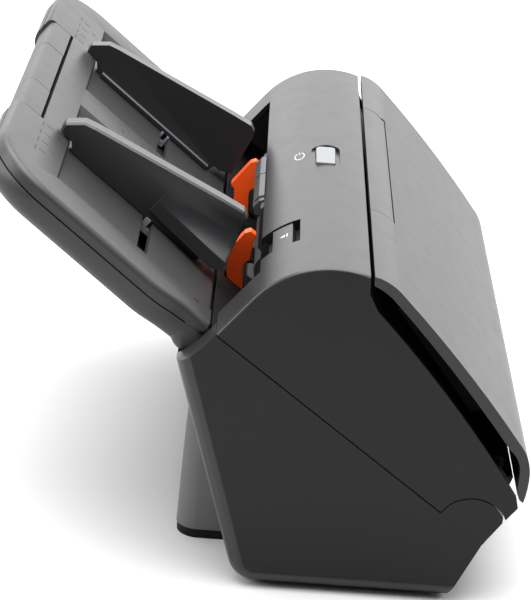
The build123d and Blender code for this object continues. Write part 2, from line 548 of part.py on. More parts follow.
# side frames of the front unit: they line the feed mouth and carry the hinge and the pinch rollers
ARM_R = 5.6
PINCH_R = 5.0
PINCH_H = UNIT_GUIDE - 0.8 + PINCH_R
PINCH_DRIVE = on_seam(DRIVE_AT, PINCH_H)
PINCH_EJECT = on_seam(EJECT_AT, PINCH_H)
SEPARATION_R = 8.0
SEPARATION_AXIS = on_seam(FEED_AT, UNIT_GUIDE - 0.6 + SEPARATION_R)
front_zone = area((-125, 40), (-90, 40), (-84, 60), (-60, 90), (-30, 130), (-30, 155), (-125, 155))
frame_face = offset(unit_face, amount=-WALL)
frame_face -= (unit_face - offset(unit_face, amount=-4.6)) & front_zone
frame_face -= skin_face
frame_face += Pos(*HINGE) * Circle(ARM_R)
frame_face += area((-99.3, 38.0), (-88.8, 38.0), (-84.0, 54.0), (-99.0, 58.0))
frame_face += area(on_seam(6, -4.4), on_seam(94, -4.4), on_seam(94, 5), on_seam(6, 5))
frame_face -= Pos(*HINGE) * Circle(HINGE_PIN_R + 0.06)
for axis in (PINCH_DRIVE, PINCH_EJECT):
    frame_face -= Pos(*axis) * Circle(2.06)
frame_left = prism(frame_face, -FRAME_X - WALL, -FRAME_X)
keep("left_unit_frame", frame_left)
keep("right_unit_frame", mirrored(frame_left))

for name, axis in (("drive_pinch", PINCH_DRIVE), ("eject_pinch", PINCH_EJECT)):
    keep(f"{name}_rollers", rod(axis, 2.0, -FRAME_X - 2, FRAME_X + 2) + [
        rod(axis, PINCH_R, x - w / 2 + 1, x + w / 2 - 1) for x, w in TYRES])

# separation roller under its light holder, in the middle of the feed mouth
holder_face = area((MOUTH_EDGE, 138.2), (5.8, 137.0), (5.8, 118.0), (3.4, 115.4), (-10.0, 115.4),
                   (-14.0, 111.0), (-17.0, 111.0), (-17.0, 122.0), (-6.0, 134.0), (-1.0, 138.4))
HOLDER_HALF = 40.0
NOSE_HALF = 32.5         # half width of the nose over the paper
nose_face = area((4.5, 138.9), (6.6, 138.2), (9.4, 134.8), (8.2, 131.6), (5.2, 130.2), (4.5, 133.0))
clip_face = area((4.5, 139.7), (7.0, 138.9), (8.8, 136.7), (8.0, 136.1), (6.2, 138.0), (4.5, 138.6))
holder_face -= skin_face & area((-30, 100), (MOUTH_EDGE, 100), (MOUTH_EDGE, 160), (-30, 160))
holder_face -= Pos(*SEPARATION_AXIS) * Circle(SEPARATION_R + 0.8)
holder = prism(holder_face, -HOLDER_HALF, HOLDER_HALF) + prism(nose_face, -NOSE_HALF, NOSE_HALF)
for x0, x1 in ((-28.0, 4.0), (5.0, 28.0)):
    holder += prism(clip_face, x0, x1)
for s in (-1, 1):
    ear = area((-14.0, 112.0), (4.0, 116.0), (4.6, 104.0), (1.0, 100.6), (-5.0, 100.6), (-12.0, 106.0))
    ear -= Pos(*SEPARATION_AXIS) * Circle(2.06)
    holder += prism(ear, *sorted((s * (HOLDER_HALF - 4.0), s * HOLDER_HALF)))
keep("separation_holder", holder)
keep("separation_roller", rod(SEPARATION_AXIS, 2.0, -40, 40) + rod(SEPARATION_AXIS, SEPARATION_R, -33, 33))

# ---------------------------------------------------------------- output front panel
PANEL_ARC = (-36.3, 124.33, 26.33)   # rounded top of the panel: centre Y, Z and radius
panel_c = PANEL_ARC[:2]
PANEL_R = PANEL_ARC[2]
PANEL_BACK = -43.0       # rear edge (Y) of the panel's top
TOP_START = polar(panel_c, PANEL_R, 110.4)
TOP_END = polar(panel_c, PANEL_R, 138.4)
panel_face = make_face(Curve() + [
    Line((PANEL_BACK, 149.6), TOP_START),
    ThreePointArc(TOP_START, polar(panel_c, PANEL_R, 125), TOP_END),
    ThreePointArc(TOP_END, (-84.4, 111.3), (-110.5, 79.2)),
    ThreePointArc((-110.5, 79.2), (-114.8, 72.4), (-116.5, 65.0)),
    ThreePointArc((-116.5, 65.0), (-116.4, 59.5), (-115.1, 51.2)),
    Line((-115.1, 51.2), (-113.2, 52.6)), Line((-113.2, 52.6), (-111.9, 56.0)),
    Line((-111.9, 56.0), (-112.2, 65.5)),
    ThreePointArc((-112.2, 65.5), (-111.4, 69.6), (-107.2, 75.4)),
    ThreePointArc((-107.2, 75.4), (-81.4, 107.4), (-53.2, 138.4)),
    ThreePointArc((-53.2, 138.4), (-48.9, 142.3), (-44.6, 144.9)),
    Line((-44.6, 144.9), (PANEL_BACK, 145.6)), Line((PANEL_BACK, 145.6), (PANEL_BACK, 149.6))])

# flip-up support let into the rounded top, and the fixed cover beside it
FLAP_X = (-65.0, 91.0)
FLAP_COVER_X = (-91.0, -65.0)
FLAP_THICK = 2.6
FLAP_ANGLE = 131.5       # where its hinge lies on the panel's top arc
KNUCKLE_R = 1.5
flap_axis = polar(panel_c, PANEL_R - 1.6, FLAP_ANGLE)


def top_band(outer_r, inner_r, from_angle, back):
    """Strip of the panel's rounded top between two radii."""
    mid = (from_angle + 110.4) / 2
    return make_face(Curve() + [
        ThreePointArc(polar(panel_c, outer_r, from_angle), polar(panel_c, outer_r, mid),
                      polar(panel_c, outer_r, 110.4)),
        Line(polar(panel_c, outer_r, 110.4), (back, panel_c[1] + outer_r * 0.96)),
        Line((back, panel_c[1] + outer_r * 0.96), (back, panel_c[1] + inner_r * 0.96)),
        Line((back, panel_c[1] + inner_r * 0.96), polar(panel_c, inner_r, 110.4)),
        ThreePointArc(polar(panel_c, inner_r, 110.4), polar(panel_c, inner_r, mid),
                      polar(panel_c, inner_r, from_angle)),
        Line(polar(panel_c, inner_r, from_angle), polar(panel_c, outer_r, from_angle))])


FLAP_PIN_R = 0.8
FLAP_CORNER = 7.0        # round front corner at the far end of the flap
KNUCKLE_END = FLAP_X[1] - 3.0
seat = top_band(PANEL_R + 2.0, PANEL_R - FLAP_THICK - 0.3, FLAP_ANGLE, PANEL_BACK + 2)
SEAT_MID = 121.0         # direction square to the middle of the seat
seat_turn = radians(SEAT_MID)
seat_plane = Plane(origin=(0, *polar(panel_c, PANEL_R, SEAT_MID)), x_dir=(1, 0, 0),
                   z_dir=(0, cos(seat_turn), sin(seat_turn)))
seat_front = -PANEL_R * sin(radians(FLAP_ANGLE - SEAT_MID))


def seat_plan(inset, corner):
    """Rounded outline of the seat seen square on, as a block through the skin."""
    plan = area((FLAP_COVER_X[0] + inset, seat_front + inset), (FLAP_X[1] - inset, seat_front + inset),
                (FLAP_X[1] - inset, 20.0), (FLAP_COVER_X[0] + inset, 20.0))
    front = plan.vertices().filter_by_position(Axis.Y, seat_front + inset - 0.1, seat_front + inset + 0.1)
    plan = fillet(front.sort_by(Axis.X)[-1], corner)
    return seat_plane * extrude(Pos(0, 0, -8) * plan, amount=16)


seat_block = prism(seat, FLAP_COVER_X[0], FLAP_X[1]) & seat_plan(0.0, FLAP_CORNER)
seat_block += rod(flap_axis, KNUCKLE_R + 0.4, FLAP_COVER_X[0], KNUCKLE_END + 2.4)
pin_hole = rod(flap_axis, FLAP_PIN_R + 0.05, FLAP_COVER_X[1] - 4.5, KNUCKLE_END + 4.5)
keep("front_panel", prism(panel_face, -HALF, HALF) - seat_block - pin_hole)
blade = top_band(PANEL_R - 0.05, PANEL_R - FLAP_THICK, FLAP_ANGLE, PANEL_BACK)
flap = prism(blade, FLAP_X[0] + 0.3, FLAP_X[1] - 0.3) & seat_plan(0.3, FLAP_CORNER + 1.2)
flap += rod(flap_axis, KNUCKLE_R, FLAP_X[0] + 0.3, KNUCKLE_END)
flap += rod(flap_axis, FLAP_PIN_R, FLAP_X[0] - 3.5, KNUCKLE_END + 3.5)
keep("output_flap", flap)
keep("flap_hinge_cover", (seat_block & prism(panel_face, *FLAP_COVER_X)) - pin_hole)

# two brackets hold the panel in front of the exit wall, clear of the paper width
bracket_face = area((-55.5, 124.8), (-91.8, 78.8), (-103.0, 82.2), (-63.0, 129.6)) - panel_face - exit_wall
for side, s in (("left", -1), ("right", 1)):
    keep(f"{side}_panel_bracket", prism(bracket_face, s * 118 - 2.5, s * 118 + 2.5))

# ---------------------------------------------------------------- feed tray
TRAY = slope_frame(TRAY_ORIGIN, TRAY_ANGLE)


def in_tray(x0, x1, s0, s1, n0, n1):
    return TRAY * box(x0, x1, s0, s1, n0, n1)


plan = make_face(Polyline((-TRAY_NECK, -2.5), (TRAY_NECK, -2.5), (TRAY_NECK, 8.0), (TRAY_HALF, 24.0),
                          (TRAY_HALF, TRAY_LENGTH), (-TRAY_HALF, TRAY_LENGTH), (-TRAY_HALF, 24.0),
                          (-TRAY_NECK, 8.0), close=True))
plan = fillet(plan.vertices().filter_by_position(Axis.Y, TRAY_LENGTH - 1, TRAY_LENGTH + 1), 28.0)
plan = fillet(plan.vertices().filter_by_position(Axis.Y, 7, 25), 30.0)
slab = extrude(Pos(0, 0, TRAY_BOTTOM) * plan, amount=TRAY_RIM - TRAY_BOTTOM)
under = [e for e in slab.edges().filter_by_position(Axis.Z, TRAY_BOTTOM - 0.1, TRAY_BOTTOM + 0.1)
         if e.center().Y > 0]
slab = fillet(under, 9.0)
over = [e for e in slab.edges().filter_by_position(Axis.Z, TRAY_RIM - 0.1, TRAY_RIM + 0.1)
        if e.center().Y > 0]
slab = fillet(over, 3.0)
axis_s = (TRAY_AXIS[0] - TRAY_ORIGIN[0]) * cos(radians(TRAY_ANGLE)) \
    + (TRAY_AXIS[1] - TRAY_ORIGIN[1]) * sin(radians(TRAY_ANGLE))
axis_n = -(TRAY_AXIS[0] - TRAY_ORIGIN[0]) * sin(radians(TRAY_ANGLE)) \
    + (TRAY_AXIS[1] - TRAY_ORIGIN[1]) * cos(radians(TRAY_ANGLE))
slab -= box(-HALF, HALF, -10, axis_s, TRAY_BOTTOM - 1, axis_n)
slab -= box(-HALF, HALF, -10, -1.5, TRAY_BOTTOM - 1, TRAY_SEAM + 1.5)
barrel = rod(TRAY_AXIS, BARREL_R, -TRAY_NECK, TRAY_NECK)
barrel = fillet(barrel.edges().filter_by(GeomType.CIRCLE), 5.0)
tray_blank = TRAY * slab + barrel

HEAD_S = 101.8           # where the extension's head starts
HEAD_HALF = 68.0
MIDDLE_HALF = 30.0
head_room = in_tray(-HEAD_HALF - 0.4, HEAD_HALF + 0.4, HEAD_S - 1.6, TRAY_LENGTH + 5, TRAY_BOTTOM - 1, TRAY_RIM + 1)
SEAM_GROOVE = (0.7, 1.4)     # height and depth of the groove between the two shells
groove = extrude(Pos(0, 0, TRAY_SEAM - SEAM_GROOVE[0]) * plan, amount=SEAM_GROOVE[0])
groove -= extrude(Pos(0, 0, TRAY_SEAM - SEAM_GROOVE[0]) * offset(plan, amount=-SEAM_GROOVE[1]),
                  amount=SEAM_GROOVE[0])
groove -= box(-HALF, HALF, -20, 6.0, -20, 20)
tray_body = tray_blank - head_room - TRAY * groove
upper_half = in_tray(-200, 200, -30, 140, TRAY_SEAM + 0.05, 30)
lower_half = in_tray(-200, 200, -30, 140, -30, TRAY_SEAM - 0.05)

# upper shell: two recessed floors either side of the middle rib, and the guide slots
RIB_HALF = 15.0
FLOOR_EDGE = 116.0
FLOOR_END = 83.0
SLOT = (32.6, 38.4)      # guide slot along the slope
upper = tray_body & upper_half
for s in (-1, 1):
    lo, hi = sorted((s * RIB_HALF, s * FLOOR_EDGE))
    floor = extrude(Pos(0, 0, TRAY_FLOOR) * make_face(Polyline(
        (lo, -20), (hi, -20), (hi, FLOOR_END), (lo, FLOOR_END), close=True)), amount=10, taper=-35)
    upper -= TRAY * floor
    lo, hi = sorted((s * 20.0, s * (FLOOR_EDGE - 0.1)))
    upper -= in_tray(lo, hi, *SLOT, 0, 10)
PINION_S = (SLOT[0] + SLOT[1]) / 2
upper += TRAY * (Pos(0, PINION_S, 0.8) * Cylinder(1.5, 3.2))
lug_room = []
for s in (-1, 1):
    lo, hi = sorted((s * (LUG_X[0] - 0.5), s * (LUG_X[1] + 0.5)))
    room = rod(TRAY_AXIS, LUG_R + 0.4, lo, hi)
    room += in_tray(lo, hi, -20, 6.5, -30, axis_n)
    room += in_tray(lo, hi, -20, axis_s - 4.6, -30, axis_n + 3.0)
    lug_room.append(room)
for room in lug_room:
    upper -= room
keep("tray_upper_shell", upper)

lower = tray_body & lower_half
lower -= in_tray(-132, 132, 12.0, 99.0, TRAY_BOTTOM + 2.4, 10)
lower -= in_tray(-HEAD_HALF, HEAD_HALF, 90.0, 105.0, TRAY_BOTTOM + 2.4, 10)
for s in (-1, 1):
    lo, hi = sorted((s * 80.0, s * 112.5))
    lower -= in_tray(lo, hi, 90.0, 112.0, TRAY_BOTTOM + 2.4, 10)
for room in lug_room:
    lower -= room
for s in (-1, 1):
    lower -= rod(TRAY_AXIS, PIN_R + 0.06, *sorted((s * 95.5, s * 112.5)))
keep("tray_lower_shell", lower)

# two-stage pull-out extension: outer stage, and the middle stage that slides in it
HEAD_END = TRAY_LENGTH - 1.6     # the head stands a little behind the tray's own end
HEAD_BOTTOM = -7.0
head = box(-HEAD_HALF, HEAD_HALF, HEAD_S, HEAD_END, HEAD_BOTTOM, TRAY_RIM)
across = head.edges().filter_by(Axis.X)
head = fillet(across.filter_by_position(Axis.Y, HEAD_END - 0.1, HEAD_END + 0.1).sort_by(Axis.Z)[0], 6.0)
across = head.edges().filter_by(Axis.X)
head = TRAY * fillet(across.filter_by_position(Axis.Z, TRAY_RIM - 0.1, TRAY_RIM + 0.1).sort_by(Axis.Y)[-1], 3.0)
STAGE_TRAVEL = 55.0
OUTER_TONGUE = (-3.6, -1.8)      # levels of the two tongues inside the tray
INNER_TONGUE = (-6.2, -4.4)
outer_stage = head - in_tray(-MIDDLE_HALF - 0.3, MIDDLE_HALF + 0.3, 90, 130, -30, 30)
outer_stage += in_tray(-64, 64, 30.0, HEAD_S - 0.2, *OUTER_TONGUE)
for s in (-1, 1):
    outer_stage += in_tray(*sorted((s * (MIDDLE_HALF + 0.3), s * 64.0)), HEAD_S - 1.0, HEAD_S + 3.0, *OUTER_TONGUE)
keep("tray_extension", outer_stage)
middle_stage = head & in_tray(-MIDDLE_HALF, MIDDLE_HALF, 90, 130, -30, 30)
middle_stage += in_tray(-26, 26, 36.0, HEAD_S + 3.0, *INNER_TONGUE)
keep("tray_extension_middle", middle_stage)

# ---------------------------------------------------------------- paper guides of the tray
GUIDE_X = 60.5           # paper face of each guide at rest
GUIDE_WALL = 8.0
guide_face = make_face(Polyline(
    (7.0, TRAY_FLOOR + 0.4), (81.0, TRAY_FLOOR + 0.4), (84.4, TRAY_RIM + 0.6), (91.4, TRAY_RIM + 1.2),
    (92.0, 13.4), (85.6, 19.4), (80.6, 20.9), (17.0, 34.9), (6.6, 36.9), (3.2, 35.4), (1.8, 32.4),
    (-3.0, 11.6), (2.6, 8.6), (6.0, 8.6), close=True))
guide_face = fillet(guide_face.vertices().filter_by_position(Axis.Y, 12.0, 40.0), 1.5)


def guide_prism(face, x0, x1):
    """Extrude an (s, n) outline of the tray frame along X."""
    return TRAY * prism(face, x0, x1)


wall = guide_prism(guide_face, GUIDE_X, GUIDE_X + GUIDE_WALL)
wall = chamfer(wall.edges().filter_by_position(Axis.X, GUIDE_X + GUIDE_WALL - 0.1, GUIDE_X + GUIDE_WALL + 0.1)
               .sort_by(Axis.Z)[-3:], 1.0)


def flare_section(at_s, reach, low, ledge, top):
    """Outline of the guide's outer flare at a station: a hollow curve above a ledge."""
    x = GUIDE_X + GUIDE_WALL
    plane = TRAY * Plane(origin=(0, at_s, 0), x_dir=(1, 0, 0), z_dir=(0, -1, 0))
    hollow = (x + reach * 0.24, ledge + (top - ledge) * 0.36)
    return plane * make_face(Curve() + [
        Line((x - 2.0, low), (x + reach, low)), Line((x + reach, low), (x + reach, ledge)),
        ThreePointArc((x + reach, ledge), hollow, (x - 0.4, top)),
        Line((x - 0.4, top), (x - 2.0, top)), Line((x - 2.0, top), (x - 2.0, low))])


foot = in_tray(GUIDE_X - 3.5, GUIDE_X, 8.5, 79.0, TRAY_FLOOR + 0.4, TRAY_FLOOR + 2.4)
skirt = loft([flare_section(-4.0, 8.6, 9.0, 15.6, 35.0), flare_section(38.0, 0.5, 8.6, 14.6, 26.0)], ruled=True)
skirt &= guide_prism(guide_face, GUIDE_X + 1, GUIDE_X + GUIDE_WALL + 12)
slider = in_tray(GUIDE_X, GUIDE_X + GUIDE_WALL, SLOT[0] + 0.4, SLOT[1] - 0.4, -0.9, TRAY_FLOOR + 0.6)
guide_right = wall + foot + skirt + slider
keep("right_paper_guide", guide_right)
keep("left_paper_guide", mirrored(guide_right))

PINION_R = 6.0
RACK_LEVEL = (-0.85, 1.6)
RACK_WIDE = 2.7
PRONG_X = (55.2, 56.8)   # two small prongs stand in the slot beside the guide's foot
PRONG_TOP = TRAY_FLOOR + 0.7
PIN_OUT = GUIDE_X + GUIDE_WALL + 1.3
for side, s, inner_edge in (("left", -1, -1), ("right", 1, 1)):
    near = PINION_S + inner_edge * (PINION_R + 0.3)
    far = near + inner_edge * RACK_WIDE
    rack = in_tray(*sorted((s * GUIDE_X, -s * 60.0)), *sorted((near, far)), *RACK_LEVEL)
    heel = PINION_S + inner_edge * (SLOT[1] - SLOT[0] - 0.8) / 2
    rack += in_tray(*sorted((s * GUIDE_X, s * PIN_OUT)), *sorted((heel, far)), *RACK_LEVEL)
    tip = PINION_S - inner_edge * 1.3
    rack += in_tray(*sorted((s * (PIN_OUT - 1.2), s * PIN_OUT)), *sorted((tip, far)), *RACK_LEVEL)
    rack += in_tray(*sorted((s * (PIN_OUT - 1.2), s * PIN_OUT)), PINION_S - 1.3, PINION_S + 1.3, 0, PRONG_TOP)
    rack += in_tray(*sorted((s * PRONG_X[0], s * GUIDE_X)), *sorted((SLOT[0] + SLOT[1] - heel, far)), *RACK_LEVEL)
    for at_s in (PINION_S - 1.8, PINION_S + 1.8):
        rack += in_tray(*sorted((s * PRONG_X[0], s * PRONG_X[1])), at_s - 0.6, at_s + 0.6, 0, PRONG_TOP)
    keep(f"{side}_guide_rack", rack)
pinion = TRAY * (Pos(0, PINION_S, sum(RACK_LEVEL) / 2) * (Cylinder(PINION_R, RACK_LEVEL[1] - RACK_LEVEL[0])
                                                          - Cylinder(1.56, 10)))
keep("guide_pinion", pinion)

# ---------------------------------------------------------------- export
spans = [solid.bounding_box() for solids in pieces.values() for solid in solids]
middle = (min(span.min.Y for span in spans) + max(span.max.Y for span in spans)) / 2
print("middle of the depth at Y", round(middle, 3))
for name, solids in pieces.items():
    moved = [Pos(0, -middle, 0) * solid for solid in solids]
    export_step(Compound(children=moved) if len(moved) > 1 else moved[0], f"parts/{name}.step")
print(len(pieces), "nodes")
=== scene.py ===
import json
import math

import bmesh
import bpy
from mathutils import Matrix, Vector
from mathutils.bvhtree import BVHTree

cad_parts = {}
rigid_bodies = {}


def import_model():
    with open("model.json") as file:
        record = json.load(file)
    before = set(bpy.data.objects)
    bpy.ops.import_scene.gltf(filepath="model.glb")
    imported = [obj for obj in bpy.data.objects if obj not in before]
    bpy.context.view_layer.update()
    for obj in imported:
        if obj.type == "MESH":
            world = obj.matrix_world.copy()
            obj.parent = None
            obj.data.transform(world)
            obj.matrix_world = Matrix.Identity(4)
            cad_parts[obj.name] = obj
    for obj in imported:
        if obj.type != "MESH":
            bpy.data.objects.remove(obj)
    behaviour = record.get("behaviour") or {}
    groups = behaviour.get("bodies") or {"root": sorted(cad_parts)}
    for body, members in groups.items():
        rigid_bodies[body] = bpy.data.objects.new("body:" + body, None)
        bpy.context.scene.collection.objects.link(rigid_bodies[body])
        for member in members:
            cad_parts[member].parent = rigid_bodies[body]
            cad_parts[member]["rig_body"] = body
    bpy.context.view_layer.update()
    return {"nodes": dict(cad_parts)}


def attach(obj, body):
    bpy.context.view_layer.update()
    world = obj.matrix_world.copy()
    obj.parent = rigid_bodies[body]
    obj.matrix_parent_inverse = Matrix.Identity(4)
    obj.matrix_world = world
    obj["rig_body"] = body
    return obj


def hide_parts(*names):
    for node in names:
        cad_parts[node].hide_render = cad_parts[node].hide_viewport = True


# Looks for the upright sheet fed document scanner. Metres, row frame: +X along the
# width, -Y is the front (output side), +Y the feed tray side, +Z up.

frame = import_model()
NODES = frame["nodes"]
MM = 0.001
DESIGN_Y = -3.248            # millimetres from the design's Y origin to the row's


# ---------------------------------------------------------------- materials
def new_material(name):
    """An empty node material, its tree and its Principled shader."""
    mat = bpy.data.materials.new(name)
    mat.use_nodes = True
    tree = mat.node_tree
    tree.nodes.clear()
    shader = tree.nodes.new("ShaderNodeBsdfPrincipled")
    out = tree.nodes.new("ShaderNodeOutputMaterial")
    tree.links.new(shader.outputs["BSDF"], out.inputs["Surface"])
    return mat, tree, shader


def noise(tree, scale, detail=3.0, rough=0.55):
    """Noise in the piece's own coordinates, so that it moves with the piece."""
    coord = tree.nodes.new("ShaderNodeTexCoord")
    tex = tree.nodes.new("ShaderNodeTexNoise")
    tex.inputs["Scale"].default_value = scale
    tex.inputs["Detail"].default_value = detail
    tex.inputs["Roughness"].default_value = rough
    tree.links.new(coord.outputs["Object"], tex.inputs["Vector"])
    return tex.outputs["Fac"]


def remap(tree, value, low, high, start=0.35, stop=0.65):
    node = tree.nodes.new("ShaderNodeMapRange")
    node.inputs["From Min"].default_value = start
    node.inputs["From Max"].default_value = stop
    node.inputs["To Min"].default_value = low
    node.inputs["To Max"].default_value = high
    tree.links.new(value, node.inputs["Value"])
    return node.outputs["Result"]


def blend_colours(tree, fac, low, high):
    node = tree.nodes.new("ShaderNodeMix")
    node.data_type = "RGBA"
    node.inputs["A"].default_value = (*low, 1.0)
    node.inputs["B"].default_value = (*high, 1.0)
    tree.links.new(fac, node.inputs["Factor"])
    return node.outputs["Result"]


def bump(tree, shader, height, distance, strength=1.0):
    node = tree.nodes.new("ShaderNodeBump")
    node.inputs["Distance"].default_value = distance
    node.inputs["Strength"].default_value = strength
    tree.links.new(height, node.inputs["Height"])
    tree.links.new(node.outputs["Normal"], shader.inputs["Normal"])


def scaled(colour, factor):
    return tuple(min(1.0, c * factor) for c in colour)


def plastic(name, colour, rough, grain=0.00045, depth=0.00002, gloss=0.5, mottle=0.06):
    """Moulded plastic: a fine spark-eroded grain, faint colour mottling and uneven sheen."""
    mat, tree, shader = new_material(name)
    wide = noise(tree, 38.0, 4.0)
    fine = noise(tree, 1.0 / grain, 2.0, 0.6)
    shade = remap(tree, wide, 0.0, 1.0, 0.3, 0.7)
    base = blend_colours(tree, shade, scaled(colour, 1.0 - mottle), scaled(colour, 1.0 + mottle))
    tree.links.new(base, shader.inputs["Base Color"])
    sheen = remap(tree, noise(tree, 95.0, 5.0), rough - 0.012, rough + 0.016)
    tree.links.new(sheen, shader.inputs["Roughness"])
    shader.inputs["Specular IOR Level"].default_value = gloss
    bump(tree, shader, fine, depth)
    return mat


def metal(name, colour, rough):
    """Turned or drawn metal with fine marks."""
    mat, tree, shader = new_material(name)
    shader.inputs["Metallic"].default_value = 1.0
    marks = noise(tree, 6000.0, 2.0)
    tree.links.new(blend_colours(tree, marks, scaled(colour, 0.85), colour), shader.inputs["Base Color"])
    tree.links.new(remap(tree, marks, rough - 0.06, rough + 0.08), shader.inputs["Roughness"])
    bump(tree, shader, marks, 0.000008)
    return mat


def rubber(name, colour):
    """Ground rubber with fine lengthwise marks."""
    mat, tree, shader = new_material(name)
    fine = noise(tree, 2600.0, 3.0, 0.7)
    base = blend_colours(tree, fine, scaled(colour, 0.7), scaled(colour, 1.3))
    tree.links.new(base, shader.inputs["Base Color"])
    tree.links.new(remap(tree, fine, 0.62, 0.86), shader.inputs["Roughness"])
    bump(tree, shader, fine, 0.00005)
    return mat


def glass(name):
    """Clear glass with a faint smear."""
    mat, tree, shader = new_material(name)
    smear = noise(tree, 120.0, 4.0)
    base = blend_colours(tree, smear, (0.80, 0.86, 0.86), (0.88, 0.92, 0.92))
    tree.links.new(base, shader.inputs["Base Color"])
    tree.links.new(remap(tree, smear, 0.03, 0.09), shader.inputs["Roughness"])
    shader.inputs["Transmission Weight"].default_value = 0.9
    shader.inputs["IOR"].default_value = 1.5
    return mat


SHELL = plastic("shell_plastic", (0.0125, 0.0125, 0.013), 0.36, gloss=0.36, mottle=0.02)
# the shell plastic made darker and duller for faces square to the width: painted shade where the light from
# above falls off the sides
SHADED_SIDE = plastic("side_plastic_painted_shade", (0.0065, 0.0065, 0.007), 0.38, gloss=0.20, mottle=0.02)
# the stand's lighter grey is partly its own colour and partly painted light standing in for the light on its
# bright end face
STAND_GREY_AND_LIGHT = plastic("stand_grey_and_painted_light", (0.095, 0.095, 0.096), 0.42, gloss=0.40, mottle=0.02)
PANEL = plastic("panel_plastic", (0.0125, 0.0125, 0.013), 0.36, gloss=0.36, mottle=0.02)
TRAY = plastic("tray_plastic", (0.022, 0.022, 0.023), 0.42, gloss=0.36, mottle=0.02)
GUIDE = plastic("guide_plastic", (0.014, 0.0145, 0.0155), 0.34, grain=0.0003, depth=0.00001, gloss=0.42)
# black plastic for the inner guides and frames; the same black also paints shade on faces of grey mouldings
# inside the feed mouth, on the side covers' inner walls, on the tray's hinge barrel and in the lever pocket
BLACK_AND_SHADE = plastic("black_plastic_and_painted_shade", (0.004, 0.004, 0.004), 0.55, gloss=0.15)
INNER = plastic("inner_plastic", (0.010, 0.010, 0.011), 0.5, gloss=0.25)
# a lighter grey for the upper faces of the guides' feet: a painted highlight
FOOT_HIGHLIGHT = plastic("guide_foot_painted_highlight", (0.11, 0.112, 0.115), 0.40, grain=0.0003, depth=0.00001)
HOLDER = plastic("holder_plastic", (0.035, 0.037, 0.040), 0.42, grain=0.0004, depth=0.00001, gloss=0.35)
LIGHT = plastic("light_grey_plastic", (0.16, 0.17, 0.18), 0.45, grain=0.0004, depth=0.00001)
PINCH = plastic("pinch_roller_plastic", (0.18, 0.18, 0.19), 0.4)
ORANGE = plastic("orange_plastic", (0.80, 0.075, 0.006), 0.42, grain=0.0004, depth=0.00001, mottle=0.03)
MARK = plastic("tray_mark_ink", (0.010, 0.010, 0.011), 0.5, gloss=0.3, depth=0.000004)
WHITE = plastic("button_plastic", (0.125, 0.131, 0.138), 0.46, grain=0.0003, depth=0.000005, mottle=0.02)
PRINT = plastic("print_ink", (0.30, 0.31, 0.32), 0.55, depth=0.000004)
DARK_PRINT = plastic("dark_print_ink", (0.006, 0.006, 0.007), 0.6, gloss=0.2, depth=0.000004)
BOARD = plastic("circuit_board", (0.010, 0.10, 0.04), 0.35, mottle=0.2)
STEEL = metal("turned_steel", (0.62, 0.62, 0.63), 0.3)
BRASS = metal("turned_brass", (0.72, 0.55, 0.24), 0.3)
RUBBER = rubber("black_rubber", (0.018, 0.018, 0.018))
TYRE = rubber("roller_rubber", (0.03, 0.03, 0.032))
GLASS = glass("sensor_glass")

# every CAD node by the material it shows
NODE_LOOKS = {
    SHELL: ["base_left_side_cover", "base_right_side_cover", "base_lower_front_cover", "base_rear_cover",
            "front_unit_top_cover", "open_lever"],
    # the hinge caps take the darker side material: painted shade
    SHADED_SIDE: ["left_hinge_cap", "right_hinge_cap"],
    STAND_GREY_AND_LIGHT: ["rear_stand"],
    PANEL: ["front_panel", "output_flap", "flap_hinge_cover"],
    TRAY: ["tray_upper_shell", "tray_lower_shell", "tray_extension", "tray_extension_middle"],
    GUIDE: ["left_paper_guide", "right_paper_guide"],
    BLACK_AND_SHADE: ["exit_guide", "turn_guide", "left_unit_frame", "right_unit_frame", "left_panel_bracket",
            "right_panel_bracket", "base_paper_guide", "upper_paper_guide", "stand_sole"],
    INNER: ["base_bottom_plate", "left_bearing_plate", "right_bearing_plate", "lower_image_sensor",
            "upper_image_sensor", "power_inlet", "usb_socket"],
    HOLDER: ["separation_holder"],
    LIGHT: ["left_guide_rack", "right_guide_rack", "guide_pinion"],
    PINCH: ["drive_pinch_rollers", "eject_pinch_rollers"],
    ORANGE: ["left_document_stop", "right_document_stop"],
    WHITE: ["start_button"],
    RUBBER: ["rubber_feet", "drive_belt"],
    TYRE: ["feed_roller_tyres", "drive_roller_tyres", "eject_roller_tyres", "separation_roller"],
    STEEL: ["feed_roller_shaft", "drive_roller_shaft", "eject_roller_shaft", "tray_hinge_pins", "base_screws",
            "drive_motor"],
    BRASS: ["motor_pulley"],
    GLASS: ["lower_sensor_glass", "upper_sensor_glass"],
    BOARD: ["main_circuit_board", "control_board"],
}
# the material that each CAD node shows
material_of = {node: mat for mat, nodes in NODE_LOOKS.items() for node in nodes}
for node, obj in NODES.items():
    obj.data.materials.clear()
    obj.data.materials.append(material_of[node])


# ---------------------------------------------------------------- pieces from the CAD shapes
# axis (Y, Z) and radius in millimetres of the arcs that need a perfectly even sheen
COVER_ARC = (-27.0 + DESIGN_Y, 108.1, 43.8)
PANEL_ARC = (-36.3 + DESIGN_Y, 124.33, 26.33)
ARCS = {
    "front_unit_top_cover": COVER_ARC,
    "front_panel": PANEL_ARC,
    "output_flap": PANEL_ARC,
    "flap_hinge_cover": PANEL_ARC,
}
ARC_REACH = 0.12             # how far from the arc a corner may lie (mm)
ARC_FACING = 0.985           # how closely a face must point along the radius
EDGE_ANGLE = math.radians(32.0)   # edges sharper than this are rounded


